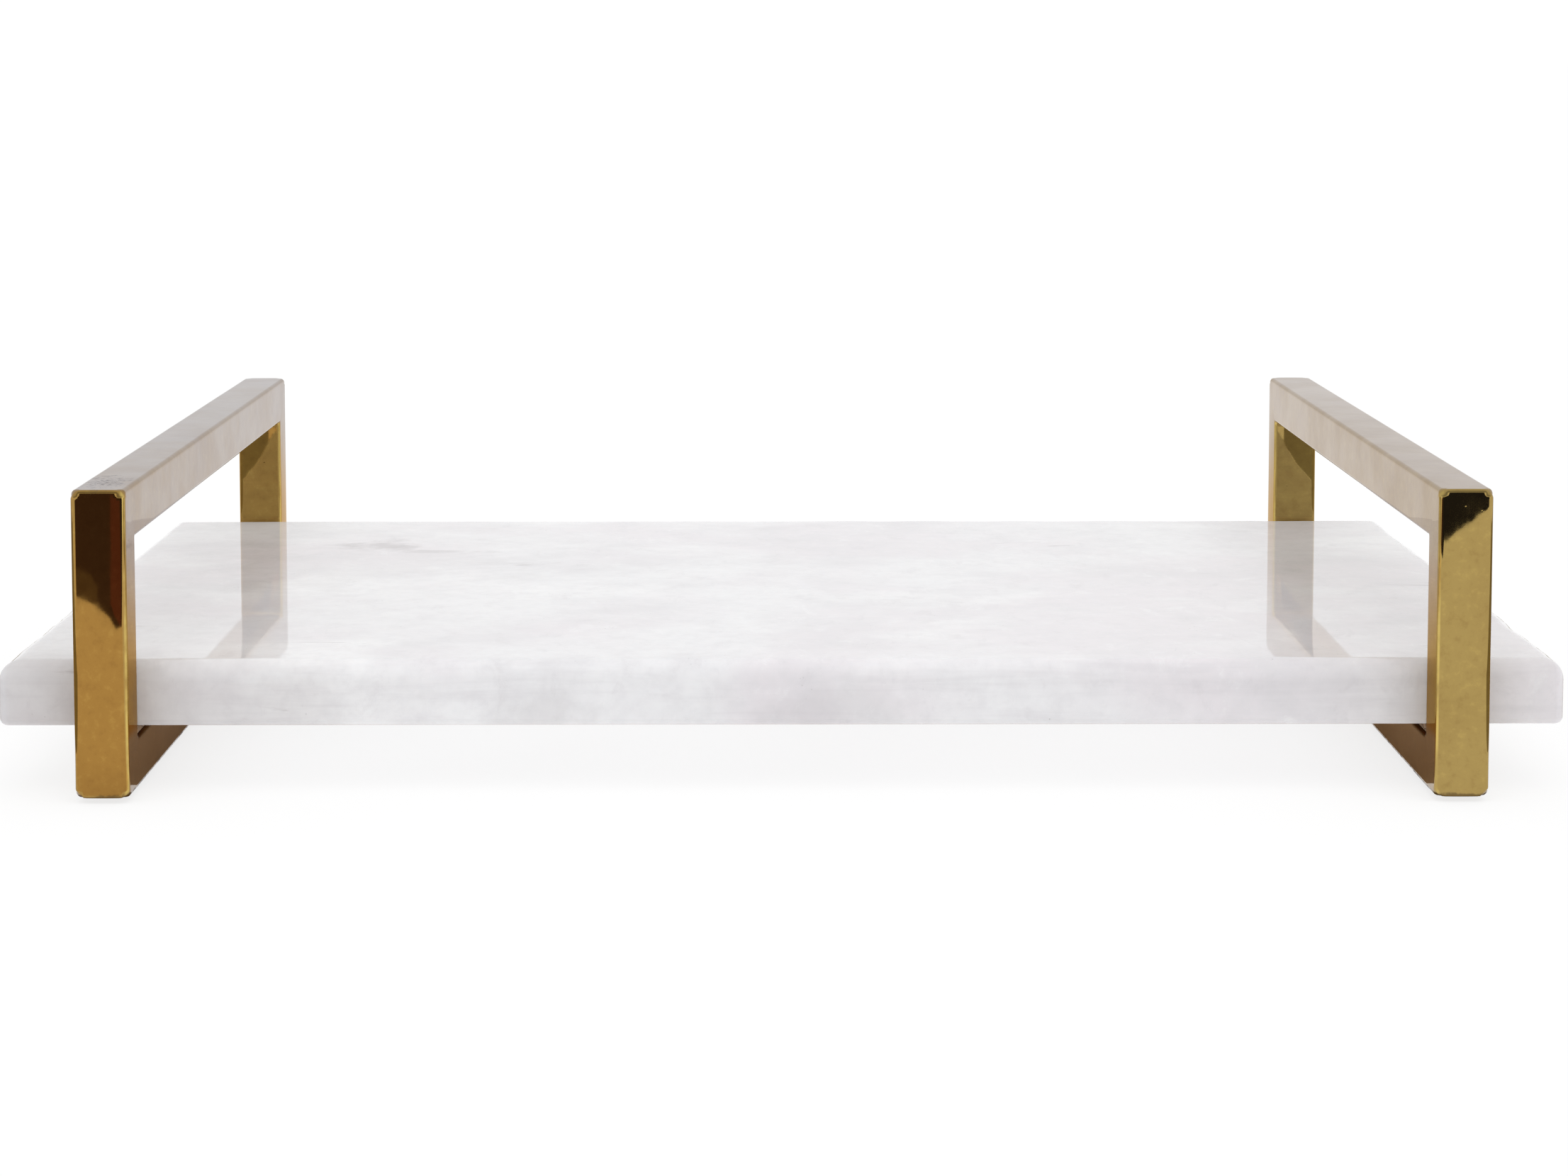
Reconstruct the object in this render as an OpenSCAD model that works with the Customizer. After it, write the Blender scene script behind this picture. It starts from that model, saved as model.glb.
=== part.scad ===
// Dresser vanity tray: a polished marble slab carried in two closed rectangular brass handles.
// Each handle is a loop of square bar. Its base bar passes under the slab and also makes the feet.
// +X runs along the length of the tray, +Y to the rear and +Z up.
// The origin is at the middle of the tray, on the surface that it stands on.

/* [Marble slab] */
// Length of the slab, left to right
slab_w = 457; // [300:1:600]
// Depth of the slab, front to rear
slab_d = 304.6; // [200:0.2:400]
// Thickness of the slab
slab_t = 19; // [16:0.5:30]
// Radius along the slab's top edges
top_round = 6; // [1:0.5:8]
// Radius along the slab's bottom edges
bottom_round = 2; // [0.5:0.5:4]
// Radius of the slab's upright corners
corner_round = 3; // [1:0.5:12]

/* [Handles] */
// Height of a handle, from its own underside to the top of its grip
handle_h = 89.4; // [80:0.2:130]
// Side of the square bar
bar = 15.8; // [14:0.1:20]
// Radius along the bar's edges
bar_round = 1.5; // [0.5:0.1:3]
// Radius of a handle's outer corners
loop_round = 1; // [0.5:0.5:6]
// Slab left outside each handle
overhang = 25.1; // [10:0.1:50]
// Clearance between the slab's edge and each post
edge_gap = 0.2; // [0.1:0.1:1]

/* [Bearing strips and feet] */
// Thickness of the strip between a base bar and the slab
strip_t = 2.2; // [1:0.1:5]
// Width of the strip
strip_w = 15; // [6:0.5:15.5]
// Thickness of a foot pad
foot_t = 1.5; // [1:0.1:4]
// Width of a foot pad
foot_w = 12; // [6:0.5:12]
// Length of a foot pad
foot_l = 34; // [15:1:60]
// Distance from a handle's outer face to the middle of its foot pad
foot_inset = 31; // [20:1:36]

/* [Fasteners] */
// Thread size of the screws that hold the slab
screw_d = 5; // [4:0.5:5]
// Overall length of a screw
screw_l = 25; // [24:0.5:26]
// Diameter of a screw's countersunk head
head_d = 9.6; // [8:0.1:10]
// Height of the head's cone
head_h = 2.4; // [2:0.1:3]
// Distance of each screw from the middle of its handle
screw_offset = 90; // [60:1:95]
// Outside diameter of a threaded insert
insert_d = 8; // [7:0.1:9]
// Length of a threaded insert
insert_l = 9; // [8:0.5:10]

/* [Hidden] */
$fn = 64;
eps = 0.01;
hole_gap = 0.25;
glue_gap = 0.05;
head_gap = 0.1;
socket_af = 3;
socket_depth = 1.8;
hex_corner_ratio = 2 / sqrt(3);
strip_end_gap = 0.2;

base_z = foot_t;
strip_z = base_z + bar;
slab_z = strip_z + strip_t;
slab_top_z = slab_z + slab_t;
handle_top_z = base_z + handle_h;
loop_inner = slab_d + 2 * edge_gap;
loop_outer = loop_inner + 2 * bar;
handle_x = slab_w / 2 - overhang - bar / 2;
foot_y = loop_outer / 2 - foot_inset;
insert_z = slab_z + 0.5;

brass = [0.72, 0.57, 0.31];
marble = [0.93, 0.93, 0.92];
cork = [0.36, 0.24, 0.15];
rubber = [0.20, 0.18, 0.17];
steel = [0.62, 0.62, 0.63];

// Rectangle w by h about the origin, with true round corners
module round_rect(w, h, r) {
    square([w - 2 * r, h], center = true);
    square([w, h - 2 * r], center = true);
    for (sx = [-1, 1], sy = [-1, 1]) {
        translate([sx * (w / 2 - r), sy * (h / 2 - r)]) circle(r);
    }
}

// Section of the slab, standing on the line y = 0: large radii at the top, small ones below
module slab_section(w) {
    half = w / 2;
    translate([-half + top_round, 0]) square([w - 2 * top_round, slab_t]);
    translate([-half, bottom_round]) square([w, slab_t - top_round - bottom_round]);
    translate([-half + bottom_round, 0]) square([w - 2 * bottom_round, slab_t - top_round]);
    for (side = [-1, 1]) {
        translate([side * (half - top_round), slab_t - top_round]) circle(top_round);
        translate([side * (half - bottom_round), bottom_round]) circle(bottom_round);
    }
}

// Repeats its children at the four screw positions
module at_screws() {
    for (side = [-1, 1], end = [-1, 1]) {
        translate([side * handle_x, end * screw_offset, 0]) children();
    }
}

module marble_slab() {
    color(marble) difference() {
        intersection() {
            translate([0, 0, slab_z]) rotate([90, 0, 0])
                linear_extrude(slab_d, center = true) slab_section(slab_w);
            translate([0, 0, slab_z]) rotate([90, 0, 90])
                linear_extrude(slab_w, center = true) slab_section(slab_d);
            translate([0, 0, slab_z])
                linear_extrude(slab_t) round_rect(slab_w, slab_d, corner_round);
        }
        at_screws() translate([0, 0, slab_z - eps])
            cylinder(h = insert_l + 1 + eps, d = insert_d + 2 * glue_gap);
    }
}

// Side view of one bar of a loop: mitred at both ends, with the loop's rounded outer corners
module mitre_outline(length) {
    half = length / 2;
    intersection() {
        polygon([[-half, bar / 2], [half, bar / 2], [half - bar, -bar / 2], [-half + bar, -bar / 2]]);
        translate([0, -bar]) round_rect(length, 3 * bar, loop_round);
    }
}

// One bar along Y with its outer face up and its ends mitred
module mitred_bar(length) {
    intersection() {
        rotate([90, 0, 0])
            linear_extrude(length, center = true) round_rect(bar, bar, bar_round);
        rotate([90, 0, 90])
            linear_extrude(2 * bar, center = true) mitre_outline(length);
    }
}

// The long bar across the top, which is held in the hand
module grip_bar(side) {
    color(brass) translate([side * handle_x, 0, handle_top_z - bar / 2]) mitred_bar(loop_outer);
}

// Upright bar: end is -1 for the front post and 1 for the rear one
module post(side, end) {
    color(brass)
        translate([side * handle_x, end * (loop_outer - bar) / 2, base_z + handle_h / 2])
            rotate([-90 * end, 0, 0]) mitred_bar(handle_h);
}

// Countersunk clearance hole for one screw, opening at the bar's underside
module screw_hole() {
    cone_h = head_h + head_gap;
    translate([0, 0, -eps]) cylinder(h = bar + 2 * eps, d = screw_d + 2 * hole_gap);
    translate([0, 0, -eps])
        cylinder(h = cone_h, r1 = head_d / 2 + head_gap, r2 = head_d / 2 + head_gap - cone_h);
}

// The bar that passes under the slab, drilled for the screws
module base_bar(side) {
    color(brass) difference() {
        translate([side * handle_x, 0, base_z + bar / 2]) rotate([0, 180, 0]) mitred_bar(loop_outer);
        for (end = [-1, 1]) {
            translate([side * handle_x, end * screw_offset, base_z]) screw_hole();
        }
    }
}

// Thin strip that the slab beds on, with holes for the screws
module bearing_strip(side) {
    strip_l = loop_inner - 2 * strip_end_gap;
    color(cork) difference() {
        translate([side * handle_x - strip_w / 2, -strip_l / 2, strip_z]) cube([strip_w, strip_l, strip_t]);
        for (end = [-1, 1]) {
            translate([side * handle_x, end * screw_offset, strip_z - eps])
                cylinder(h = strip_t + 2 * eps, d = screw_d + 2 * hole_gap);
        }
    }
}

// Sleeves bonded into the slab, one for each screw
module threaded_inserts() {
    color(brass) at_screws() translate([0, 0, insert_z]) difference() {
        cylinder(h = insert_l, d = insert_d);
        translate([0, 0, -eps]) cylinder(h = insert_l + 2 * eps, d = screw_d);
    }
}

// Countersunk screws with a hexagon socket, driven up through the base bars
module handle_screws() {
    thread_r = screw_d / 2 - glue_gap;
    color(steel) at_screws() translate([0, 0, base_z]) difference() {
        union() {
            cylinder(h = head_h, r1 = head_d / 2, r2 = head_d / 2 - head_h);
            cylinder(h = screw_l, r = thread_r);
        }
        translate([0, 0, -eps])
            cylinder(h = socket_depth + eps, d = socket_af * hex_corner_ratio, $fn = 6);
    }
}

// Soft pad under one end of a base bar
module foot(side, end) {
    color(rubber) translate([side * handle_x, end * foot_y, 0])
        linear_extrude(foot_t) round_rect(foot_w, foot_l, foot_w / 2 - 1);
}

module left_grip_bar() { grip_bar(-1); }
module left_front_post() { post(-1, -1); }
module left_rear_post() { post(-1, 1); }
module left_base_bar() { base_bar(-1); }
module right_grip_bar() { grip_bar(1); }
module right_front_post() { post(1, -1); }
module right_rear_post() { post(1, 1); }
module right_base_bar() { base_bar(1); }
module left_bearing_strip() { bearing_strip(-1); }
module right_bearing_strip() { bearing_strip(1); }
module left_front_foot() { foot(-1, -1); }
module left_rear_foot() { foot(-1, 1); }
module right_front_foot() { foot(1, -1); }
module right_rear_foot() { foot(1, 1); }

marble_slab();
left_grip_bar();
left_front_post();
left_rear_post();
left_base_bar();
right_grip_bar();
right_front_post();
right_rear_post();
right_base_bar();
left_bearing_strip();
right_bearing_strip();
threaded_inserts();
handle_screws();
left_front_foot();
left_rear_foot();
right_front_foot();
right_rear_foot();
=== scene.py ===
"""Dresser vanity tray: the looks of a marble slab in two brass loop handles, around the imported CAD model.

Everything is in metres, in the CAD model's own frame: +X along the tray, +Y to the rear, +Z up.
"""
import math

import bpy
import numpy as np
from mathutils import Euler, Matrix, Vector, geometry, noise


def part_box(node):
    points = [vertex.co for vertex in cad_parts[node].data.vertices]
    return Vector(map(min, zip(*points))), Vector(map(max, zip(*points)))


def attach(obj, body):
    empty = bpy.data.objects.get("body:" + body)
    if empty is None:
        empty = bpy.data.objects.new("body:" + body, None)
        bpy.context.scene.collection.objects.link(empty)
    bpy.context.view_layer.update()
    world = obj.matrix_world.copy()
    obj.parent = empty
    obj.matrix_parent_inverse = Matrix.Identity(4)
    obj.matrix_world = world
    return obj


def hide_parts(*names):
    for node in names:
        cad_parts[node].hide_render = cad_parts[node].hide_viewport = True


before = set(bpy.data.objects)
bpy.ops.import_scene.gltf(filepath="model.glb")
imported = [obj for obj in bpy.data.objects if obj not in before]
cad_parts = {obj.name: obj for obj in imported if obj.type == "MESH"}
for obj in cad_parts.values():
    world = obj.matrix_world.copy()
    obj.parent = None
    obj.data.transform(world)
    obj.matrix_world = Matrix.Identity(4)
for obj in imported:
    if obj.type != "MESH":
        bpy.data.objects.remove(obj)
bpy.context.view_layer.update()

MM = 0.001
SIDES = {"left": -1, "right": 1}
ENDS = {"front": -1, "rear": 1}


# ---------------------------------------------------------------- sizes read from the frame

slab_low, slab_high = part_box("marble_slab")
SLAB_W, SLAB_D, SLAB_T = slab_high - slab_low
TOP_ROUND = 6 * MM
BOTTOM_ROUND = 2 * MM
CORNER_ROUND = 3 * MM

# each handle is a loop of square bar: LOOP_Y is how far it reaches to the front and to the rear
post_low, post_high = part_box("left_front_post")
BAR = post_high.x - post_low.x
HANDLE_X = abs(post_low.x + post_high.x) / 2
LOOP_Y = abs(post_low.y)
LOOP_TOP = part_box("left_grip_bar")[1].z
LOOP_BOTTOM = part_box("left_base_bar")[0].z
LOOP_MIDDLE_Z = (LOOP_TOP + LOOP_BOTTOM) / 2
BASE_TOP = LOOP_BOTTOM + BAR
# radii along the bar's edges, across a loop's outer corners, in its inner corners and of its eight worn tips
BAR_ROUND = 1.5 * MM
LOOP_ROUND = 1.0 * MM
BRAZE_FILLET = 1.4 * MM
TIP_ROUND = 2.7 * MM

screws_low, screws_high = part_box("handle_screws")
HEAD_R = screws_high.x - HANDLE_X
SCREW_Y = screws_high.y - HEAD_R
SCREW_L = screws_high.z - screws_low.z
SOCKET_ACROSS = 3 * MM
SOCKET_DEPTH = 1.8 * MM
THREAD_R = 2.5 * MM
HOLE_R = THREAD_R + 0.25 * MM
inserts_low, inserts_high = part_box("threaded_inserts")
INSERT_R = inserts_high.x - HANDLE_X


# ---------------------------------------------------------------- mesh helpers

def mesh_object(name, verts, faces, normals=None):
    """A mesh from its points and faces. normals holds one for each face corner, in the order of the faces."""
    mesh = bpy.data.meshes.new(name)
    mesh.from_pydata([tuple(v) for v in verts], [], [tuple(f) for f in faces])
    mesh.polygons.foreach_set("use_smooth", [True] * len(mesh.polygons))
    if normals is not None:
        mesh.normals_split_custom_set([tuple(n) for n in normals])
    obj = bpy.data.objects.new(name, mesh)
    bpy.context.scene.collection.objects.link(obj)
    return obj


class Build:
    """Collects points and faces, each face with the normals of its corners."""

    def __init__(self):
        self.verts, self.faces, self.normals = [], [], []
        self.seen = {}

    def point(self, co):
        key = tuple(round(c * 1e8) for c in co)
        if key not in self.seen:
            self.seen[key] = len(self.verts)
            self.verts.append(tuple(co))
        return self.seen[key]

    def face(self, corners, normals):
        """corners are points in order round the face; normals are one for each corner."""
        ids = [self.point(c) for c in corners]
        kept = [i for i in range(len(ids)) if ids[i] != ids[i - 1]]
        if len(kept) >= 3:
            self.faces.append([ids[i] for i in kept])
            self.normals.extend(normals[i] for i in kept)

    def grid(self, points, normals, wrap=False):
        """Quads over rows of points. wrap joins the last column to the first."""
        rows, cols = len(points), len(points[0])
        for i in range(rows - 1):
            for j in range(cols if wrap else cols - 1):
                k = (j + 1) % cols
                ring = ((i, j), (i, k), (i + 1, k), (i + 1, j))
                self.face([points[a][b] for a, b in ring], [normals[a][b] for a, b in ring])

    def plane(self, outer, holes, z, up):
        """A flat face bounded by the outline outer, with holes in it, facing +Z or -Z.

        Points given with a height of their own keep it, and the others lie at height z."""
        loops = [outer] + list(holes)
        points = [tuple(p) if len(p) == 3 else (p[0], p[1], z) for loop in loops for p in loop]
        edges, first = [], 0
        for loop in loops:
            edges += [(first + i, first + (i + 1) % len(loop)) for i in range(len(loop))]
            first += len(loop)
        flat = [Vector(p[:2]) for p in points]
        _, _, triangles, origins, *_ = geometry.delaunay_2d_cdt(flat, edges, [], 1, 1e-9)
        hole_shapes = [np.array([p[:2] for p in loop]) for loop in holes]
        normal = (0, 0, 1 if up else -1)
        for triangle in triangles:
            a, b, c = (points[origins[i][0]] for i in triangle)
            middle = Vector((a[0] + b[0] + c[0], a[1] + b[1] + c[1])) / 3
            if any(inside(middle, shape) for shape in hole_shapes):
                continue
            anticlockwise = (b[0] - a[0]) * (c[1] - a[1]) > (b[1] - a[1]) * (c[0] - a[0])
            self.face([a, b, c] if anticlockwise == up else [a, c, b], [normal] * 3)

    def object(self, name):
        return mesh_object(name, self.verts, self.faces, self.normals)


def inside(point, shape):
    """True where the point lies inside the polygon."""
    x, y = shape[:, 0], shape[:, 1]
    x2, y2 = np.roll(x, -1), np.roll(y, -1)
    crosses = (y > point.y) != (y2 > point.y)
    at = x + (point.y - y) * (x2 - x) / np.where(y2 == y, 1e-12, y2 - y)
    return bool(np.count_nonzero(crosses & (point.x < at)) % 2)


def circle(cx, cy, r, count=48):
    """Points round a circle, seen from above, anticlockwise."""
    turn = [2 * math.pi * i / count for i in range(count)]
    return [(cx + r * math.cos(t), cy + r * math.sin(t)) for t in turn]


def lathe(build, cx, cy, profile, count=48, wobble=None):
    """Turns a profile about an upright axis. Its points are (radius, z, normal outwards, normal upwards)."""
    rows, normals = [], []
    for r, z, nr, nz in profile:
        row, row_n = [], []
        for i in range(count):
            t = 2 * math.pi * i / count
            rr = r if wobble is None else wobble(r, z, t)
            row.append((cx + rr * math.cos(t), cy + rr * math.sin(t), z))
            row_n.append((nr * math.cos(t), nr * math.sin(t), nz))
        rows.append(row)
        normals.append(row_n)
    build.grid(rows, normals, wrap=True)


def smooth_noise(x, y, z, scale, seed):
    """Soft noise from -1 to 1 with features about scale across."""
    return noise.noise(Vector((x / scale + seed, y / scale - seed, z / scale + 0.5 * seed)))


# ---------------------------------------------------------------- the marble slab

def rounded_outline(w, d, r, arc_steps):
    """Outline of a rounded rectangle and its outward normals, anticlockwise, with points along its sides."""
    points, normals = [], []
    steps_along_depth, steps_along_width = 76, 114
    for quarter in range(4):
        cx = (w / 2 - r) * (1, -1, -1, 1)[quarter]
        cy = (d / 2 - r) * (1, 1, -1, -1)[quarter]
        for i in range(arc_steps + 1):
            a = math.pi / 2 * (quarter + i / arc_steps)
            points.append((cx + r * math.cos(a), cy + r * math.sin(a)))
            normals.append((math.cos(a), math.sin(a)))
        a = math.pi / 2 * (quarter + 1)
        start = points[-1]
        length = (w if quarter % 2 == 0 else d) - 2 * r
        steps = steps_along_width if quarter % 2 == 0 else steps_along_depth
        along = (math.cos(a + math.pi / 2), math.sin(a + math.pi / 2))
        for i in range(1, steps):
            s = length * i / steps
            points.append((start[0] + along[0] * s, start[1] + along[1] * s))
            normals.append((math.cos(a), math.sin(a)))
    return points, normals


def top_swell(x, y):
    """How far the radius along the slab's top edge swells or shrinks at a place, as a share of the radius."""
    return 0.16 * smooth_noise(x, y, 0.0, 0.018, 5.3) + 0.08 * smooth_noise(x, y, 0.0, 0.006, 9.1)


def slab():
    """The slab as rings of a rounded rectangle, drawn in over its rounded edges and closed at both faces."""
    arc, upright_steps, corner_steps = 12, 5, 10
    smallest_corner = 0.8 * MM
    most_wander, wander_scale = 0.10 * MM, 0.035
    rings = []
    for i in range(arc + 1):
        a = math.pi / 2 * (1 - i / arc)
        inset = BOTTOM_ROUND * (1 - math.cos(a))
        rings.append((inset, slab_low.z + BOTTOM_ROUND * (1 - math.sin(a)), math.cos(a), -math.sin(a)))
    for i in range(1, upright_steps):
        z = slab_low.z + BOTTOM_ROUND + (SLAB_T - BOTTOM_ROUND - TOP_ROUND) * i / upright_steps
        rings.append((0.0, z, 1.0, 0.0))
    for i in range(arc + 1):
        a = math.pi / 2 * i / arc
        inset = TOP_ROUND * (1 - math.cos(a))
        rings.append((inset, slab_high.z - TOP_ROUND * (1 - math.sin(a)), math.cos(a), math.sin(a)))
    build = Build()
    rows, row_normals = [], []
    for inset, z, out, up in rings:
        r = max(CORNER_ROUND - inset, smallest_corner)
        outline, outward = rounded_outline(SLAB_W - 2 * inset, SLAB_D - 2 * inset, r, corner_steps)
        row, row_n = [], []
        for (x, y), (nx, ny) in zip(outline, outward):
            # the edges are ground by hand, so they wander inwards a little
            wander = 0.5 + 0.5 * smooth_noise(x, y, z, wander_scale, 3.1)
            swell = top_swell(x, y) if z > slab_high.z - 1.01 * TOP_ROUND else 0.0
            draw_in = most_wander * wander * (1 - abs(up) ** 3) + inset * swell
            row.append((x - nx * draw_in, y - ny * draw_in, slab_high.z - (slab_high.z - z) * (1 + swell)))
            row_n.append((nx * out, ny * out, up))
        rows.append(row)
        row_normals.append(row_n)
    build.grid(rows, row_normals, wrap=True)
    holes = []
    glue_gap, drill_end = 0.05 * MM, 0.5 * MM
    hole_r = INSERT_R + glue_gap
    hole_top = inserts_high.z + drill_end
    for side in SIDES.values():
        for end in ENDS.values():
            cx, cy = side * HANDLE_X, end * SCREW_Y
            holes.append(circle(cx, cy, hole_r))
            lathe(build, cx, cy, [(hole_r, hole_top, -1, 0), (hole_r, slab_low.z, -1, 0)])
            build.plane(circle(cx, cy, hole_r), [], hole_top, up=False)
    build.plane(rows[0], holes, slab_low.z, up=False)
    build.plane(rows[-1], [], slab_high.z, up=True)
    return build.object("marble_tray_slab")


# ---------------------------------------------------------------- the brass handles

def bar_profile():
    """Section of a bar as (sideways, outwards) points and normals, with its faces crowned by polishing."""
    crown = 0.05 * MM
    arc_steps, face_steps = 8, 14
    half = BAR / 2
    flat = half - BAR_ROUND
    points, normals = [], []
    for quarter in range(4):
        a0 = math.pi / 2 * quarter
        out = (math.cos(a0), math.sin(a0))
        along = (-math.sin(a0), math.cos(a0))
        for i in range(face_steps + 1):
            s = flat * (2 * i / face_steps - 1)
            lift = half - crown * (s / flat) ** 2
            slope = 2 * crown * s / flat ** 2
            points.append((out[0] * lift + along[0] * s, out[1] * lift + along[1] * s))
            n = Vector((out[0] + along[0] * slope, out[1] + along[1] * slope)).normalized()
            normals.append(tuple(n))
        centre = (flat * (out[0] + along[0]), flat * (out[1] + along[1]))
        r = BAR_ROUND - crown
        for i in range(1, arc_steps):
            a = a0 + math.pi / 2 * i / arc_steps
            points.append((centre[0] + r * math.cos(a), centre[1] + r * math.sin(a)))
            normals.append((math.cos(a), math.sin(a)))
    return points, normals


def loop_corners(offset):
    """The four corners of the loop's path at a distance outwards from its centre line, and half their steps.

    A corner is a list of (y, z, outward y, outward z). A bar runs from one corner's middle to the next."""
    half_y = LOOP_Y - BAR / 2
    half_z = (LOOP_TOP - LOOP_BOTTOM) / 2 - BAR / 2
    share = (offset + BAR / 2) / BAR
    r = BRAZE_FILLET + (LOOP_ROUND - BRAZE_FILLET) * share
    # a corner is convex outside and a concave fillet inside, and both bend about a centre on the diagonal
    steps, corners = 8, []
    for quarter, (sy, sz) in enumerate(((1, 1), (-1, 1), (-1, -1), (1, -1))):
        corner = []
        for i in range(2 * steps + 1):
            a = math.pi / 2 * (quarter + i / (2 * steps))
            cy = sy * (half_y + offset - r)
            cz = sz * (half_z + offset - r)
            y, z = cy + r * math.cos(a), LOOP_MIDDLE_Z + cz + r * math.sin(a)
            corner.append((y, z, math.cos(a), math.sin(a)))
        corners.append(corner)
    return corners, steps


def row_places(length, count):
    """Places of the rows along a straight run, as shares of its length: even, with more close to its ends."""
    near = [place * MM / length for place in (0.4, 0.8, 1.3, 2.0, 3.0)]
    even = [i / count for i in range(1, count)]
    return near + even + [1 - share for share in reversed(near)]


def soften_tip(point, normal, side):
    """Draws a point near one of a loop's eight tips in towards a ball, as polishing rounds the tips off."""
    middle = Vector((side * HANDLE_X, 0.0, LOOP_MIDDLE_Z))
    half = (BAR / 2, LOOP_Y, (LOOP_TOP - LOOP_BOTTOM) / 2)
    sign = [math.copysign(1.0, c) for c in point - middle]
    centre = Vector(m + s * (h - TIP_ROUND) for m, s, h in zip(middle, sign, half))
    reach = [s * c for s, c in zip(sign, point - centre)]
    radius = (point - centre).length
    if min(reach) <= 0 or radius <= TIP_ROUND:
        return point, normal
    share = min(1.0, min(reach) / (0.45 * TIP_ROUND))
    share = share * share * (3 - 2 * share)
    outward = (point - centre) / radius
    return point - outward * (radius - TIP_ROUND) * share, normal.lerp(outward, share).normalized()


def loop_grids(side):
    """For each bar of one handle, its points and normals: rows along the bar, columns round the section."""
    profile, profile_n = bar_profile()
    long_bar, short_bar = (44, 2 * LOOP_Y), (12, LOOP_TOP - LOOP_BOTTOM)
    most_sink, wave_scale = 0.06 * MM, 0.045
    grids = [[] for _ in range(4)]
    normal_grids = [[] for _ in range(4)]
    columns = []
    for (px, pn), (nx, nn) in zip(profile, profile_n):
        corners, steps = loop_corners(pn)
        column = []
        for bar in range(4):
            first, last = corners[bar][steps:], corners[(bar + 1) % 4][:steps + 1]
            (y0, z0, oy, oz), (y1, z1, _, _) = first[-1], last[0]
            count, length = long_bar if bar % 2 == 0 else short_bar
            shares = row_places(length, count)
            between = [(y0 + (y1 - y0) * share, z0 + (z1 - z0) * share, oy, oz) for share in shares]
            column.append(first + between + last)
        columns.append((px, nx, nn, column))
    for bar in range(4):
        rows = len(columns[0][3][bar])
        for i in range(rows):
            row, row_n = [], []
            for px, nx, nn, column in columns:
                y, z, oy, oz = column[bar][i]
                normal = Vector((nx, nn * oy, nn * oz)).normalized()
                x = side * HANDLE_X + px
                # hand polishing leaves the faces very slightly wavy, except where the bar is drilled
                level = min(1.0, max(0.0, (z - LOOP_BOTTOM - 3 * MM) / (6 * MM)))
                wave = smooth_noise(x, y, z, wave_scale, 7.7 + side)
                sink = level * most_sink * (0.5 + 0.5 * wave)
                point, normal = soften_tip(Vector((x, y, z)) - normal * sink, normal, side)
                row.append(tuple(point))
                row_n.append(tuple(normal))
            grids[bar].append(row)
            normal_grids[bar].append(row_n)
    return grids, normal_grids


def close_end(build, ring, outward):
    """Closes a bar's mitred end with a fan of triangles about the middle of its ring."""
    middle = tuple(sum(p[k] for p in ring) / len(ring) for k in range(3))
    for a, b in zip(ring, ring[1:] + ring[:1]):
        face = [a, b, middle]
        n = (Vector(b) - Vector(a)).cross(Vector(middle) - Vector(a))
        if n.dot(outward) < 0:
            face = [b, a, middle]
        build.face(face, [tuple(outward)] * 3)


def handle_bars(side_name):
    """The four bars of one handle, seamless where they meet."""
    side = SIDES[side_name]
    grids, normals = loop_grids(side)
    # run 0 is the top bar from rear to front, then the front post, the base bar and the rear post
    names = ("grip_bar", "front_post", "base_bar", "rear_post")
    bars = []
    for bar, name in enumerate(names):
        build = Build()
        rows, rows_n = grids[bar], normals[bar]
        if name == "base_bar":
            drilled_base(build, rows, rows_n, side)
        else:
            build.grid(rows, rows_n, wrap=True)
        for end in (0, -1):
            step = Vector(rows[0 if end == 0 else -1][0]) - Vector(rows[1 if end == 0 else -2][0])
            outward = Vector((0, math.copysign(1, step.y), math.copysign(1, step.z)))
            if name in ("grip_bar", "base_bar"):
                outward.z = -1 if name == "grip_bar" else 1
            else:
                outward.y = 1 if name == "front_post" else -1
            close_end(build, rows[end], outward.normalized())
        obj = build.object(f"{side_name}_{name}_brass")
        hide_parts(f"{side_name}_{name}")
        bars.append(obj)
    return bars


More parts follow.
